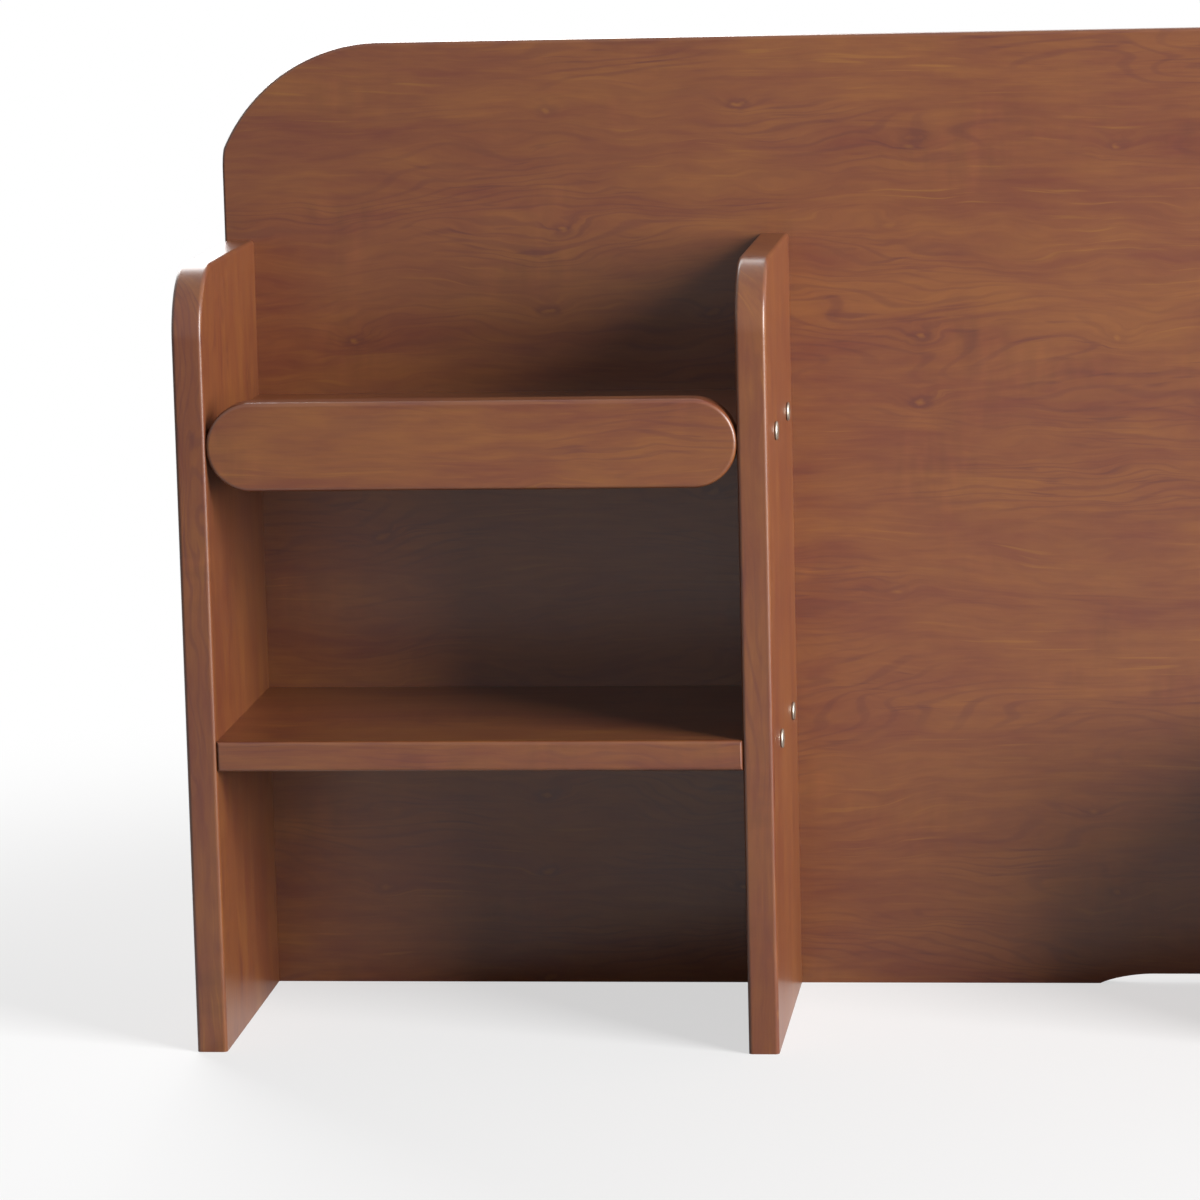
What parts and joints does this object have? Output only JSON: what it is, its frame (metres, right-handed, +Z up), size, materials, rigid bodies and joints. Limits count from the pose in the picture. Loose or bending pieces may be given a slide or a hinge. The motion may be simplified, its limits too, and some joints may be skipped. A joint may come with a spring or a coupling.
{
  "type": "desk hutch",
  "caption": "Wooden desk hutch: tall back panel with rounded top corners, a tall two-shelf unit at one end, a low shelf at the other and a cable notch.",
  "frame": {"origin": "centre of the footprint, on the desk top the hutch stands on", "axes": "+X to the user's right along the desk, +Y to the rear, +Z up; the open front faces -Y"},
  "size_m": [1.188, 0.189, 0.584],
  "materials": {
    "panel_wood": "cherry-stained veneer, satin lacquer, horizontal grain",
    "upright_wood": "cherry-stained solid board, satin lacquer, vertical grain",
    "shelf_wood": "cherry-stained solid board, satin lacquer, horizontal grain",
    "bolt_steel": "nickel-plated, satin",
    "nut_steel": "zinc-plated",
    "screw_steel": "yellow zinc-plated",
    "insert_steel": "zinc-plated",
    "dowel_wood": "plain beech"
  },
  "bodies": {
    "root": {"back_panel": "panel_wood", "left_outer_upright": "upright_wood", "left_inner_upright": "upright_wood", "left_lower_shelf": "shelf_wood", "left_upper_shelf": "shelf_wood", "left_rail": "shelf_wood", "right_inner_upright": "upright_wood", "right_outer_upright": "upright_wood", "right_shelf": "shelf_wood", "left_outer_side_bolts": "bolt_steel", "left_inner_side_bolts": "bolt_steel", "right_inner_side_bolts": "bolt_steel", "right_outer_side_bolts": "bolt_steel", "left_lower_shelf_nuts": "nut_steel", "left_upper_shelf_nuts": "nut_steel", "right_shelf_nuts": "nut_steel", "left_lower_shelf_dowels": "dowel_wood", "left_upper_shelf_dowels": "dowel_wood", "right_shelf_dowels": "dowel_wood", "rail_shelf_dowels": "dowel_wood", "rail_end_dowels": "dowel_wood", "left_foot_inserts": "insert_steel", "right_foot_inserts": "insert_steel", "left_upright_back_screws": "screw_steel", "left_shelf_back_screws": "screw_steel", "right_upright_back_screws": "screw_steel", "right_shelf_back_screws": "screw_steel"}
  },
  "joints": []
}
